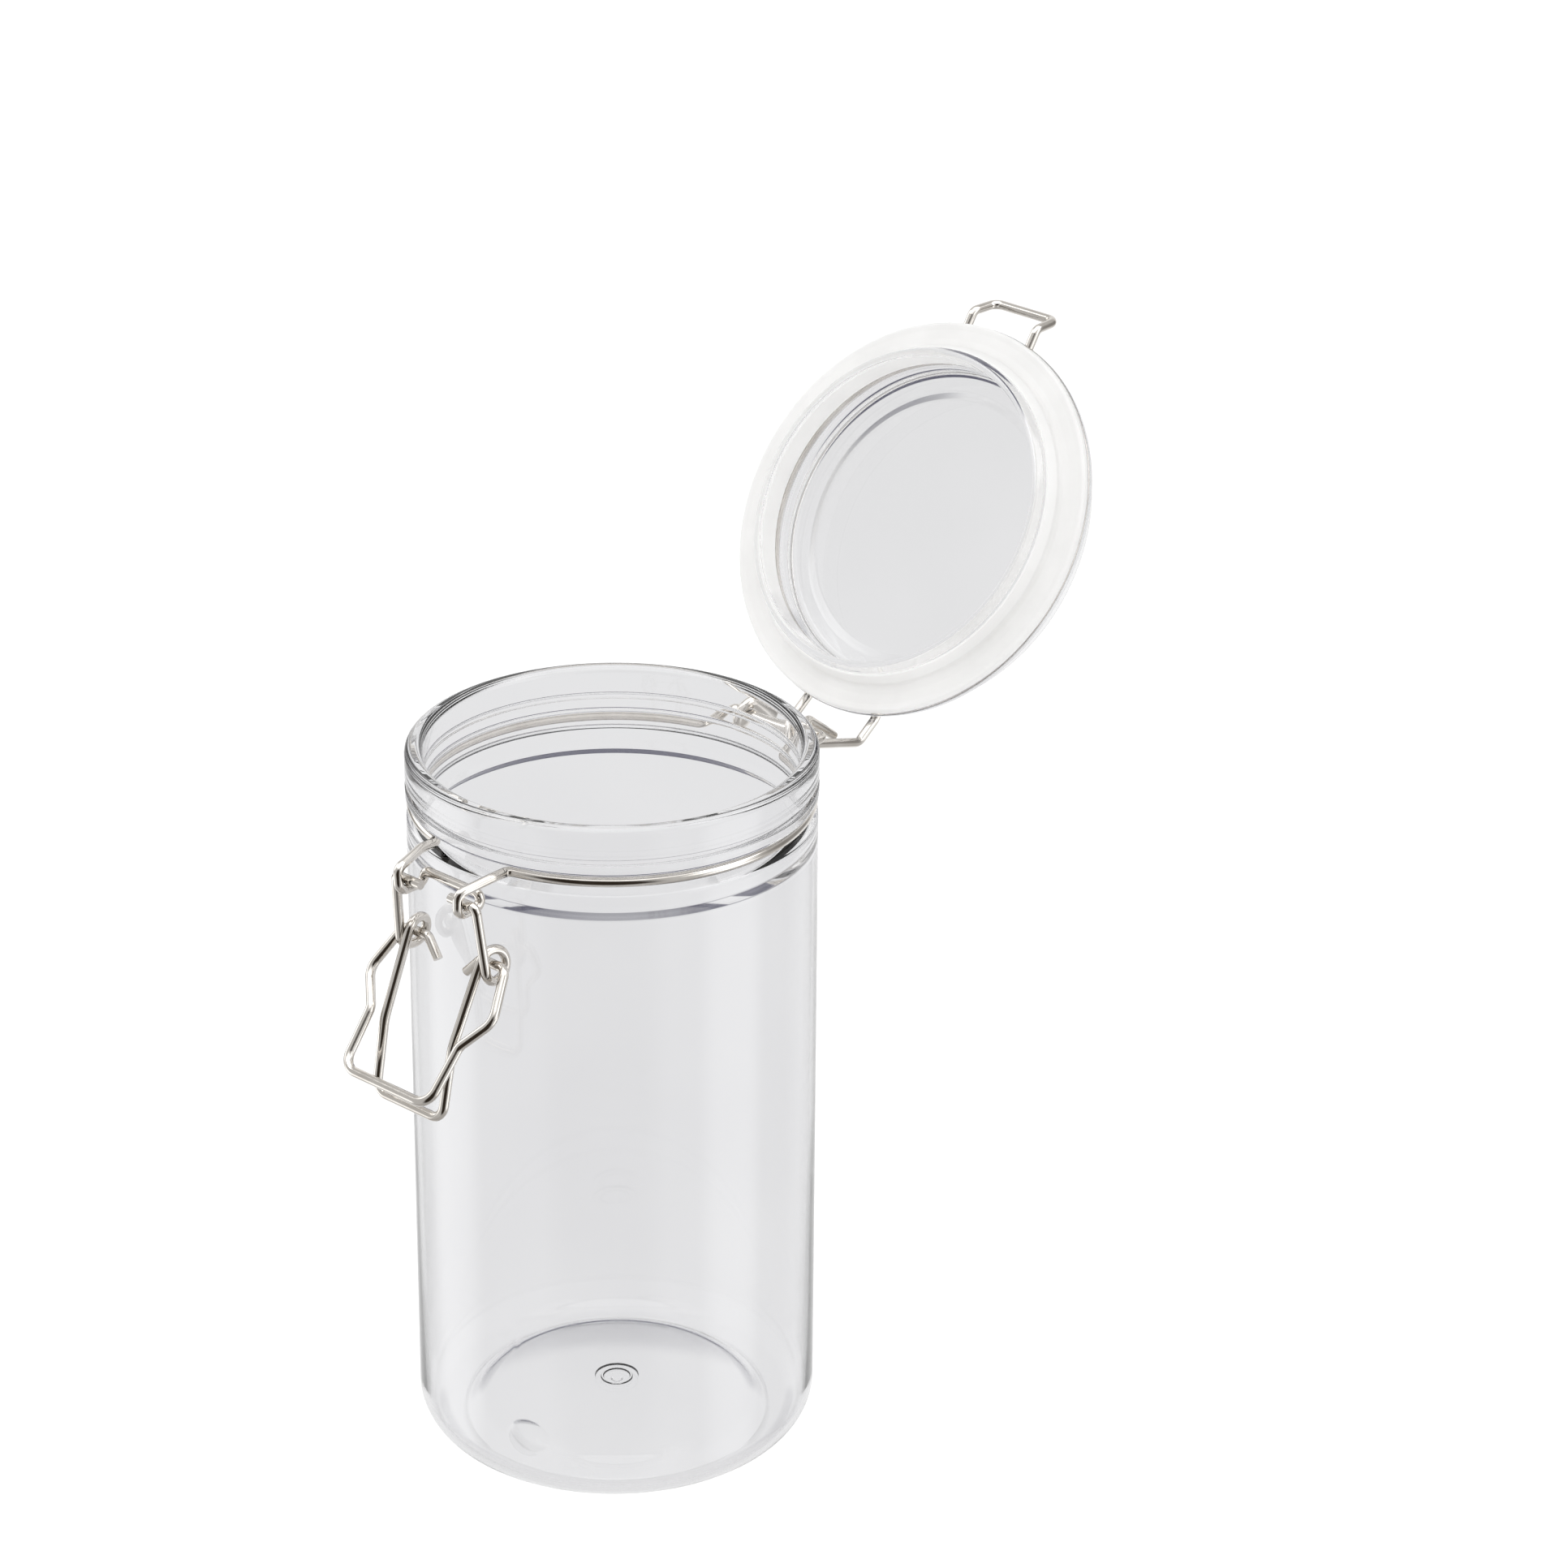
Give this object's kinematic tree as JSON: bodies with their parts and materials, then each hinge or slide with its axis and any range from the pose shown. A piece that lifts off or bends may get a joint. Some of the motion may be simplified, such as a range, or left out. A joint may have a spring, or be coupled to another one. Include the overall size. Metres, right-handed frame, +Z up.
{
  "type": "bail clamp jar",
  "caption": "Tall clear storage jar with a hinged plug lid on a wire frame, a soft sealing ring and a lever clamp with a hanging bail on the front.",
  "frame": {"origin": "middle of the face that the jar stands on, on the jar's axis", "axes": "+Z up the jar's axis, -Y towards the lever clamp, +Y towards the lid's hinge, +X to the right seen from the clamp side"},
  "size_m": [0.1036, 0.2303, 0.2569],
  "materials": {
    "clear_shell": "clear, glossy",
    "wire": "polished drawn wire",
    "seal": "translucent white, satin"
  },
  "bodies": {
    "jar": {"jar_body": "clear_shell", "neck_wire": "wire"},
    "lever": {"lever_wire": "wire"},
    "bail": {"bail_wire": "wire"},
    "lid": {"lid": "clear_shell", "gasket": "seal", "lid_wire": "wire"}
  },
  "joints": [
    {"name": "lid_hinge", "type": "hinge", "parent": "jar", "child": "lid", "pos_m": [0, 0.0606, 0.1712], "axis": [-1, 0, 0], "range_deg": [-124.5, 50]},
    {"name": "lever_hinge", "type": "hinge", "parent": "jar", "child": "lever", "pos_m": [0, -0.0593, 0.166], "axis": [-1, 0, 0], "range_deg": [0, 75]},
    {"name": "bail_hinge", "type": "hinge", "parent": "lever", "child": "bail", "pos_m": [0, -0.0535, 0.1493], "axis": [-1, 0, 0], "range_deg": [-10, 82]}
  ]
}
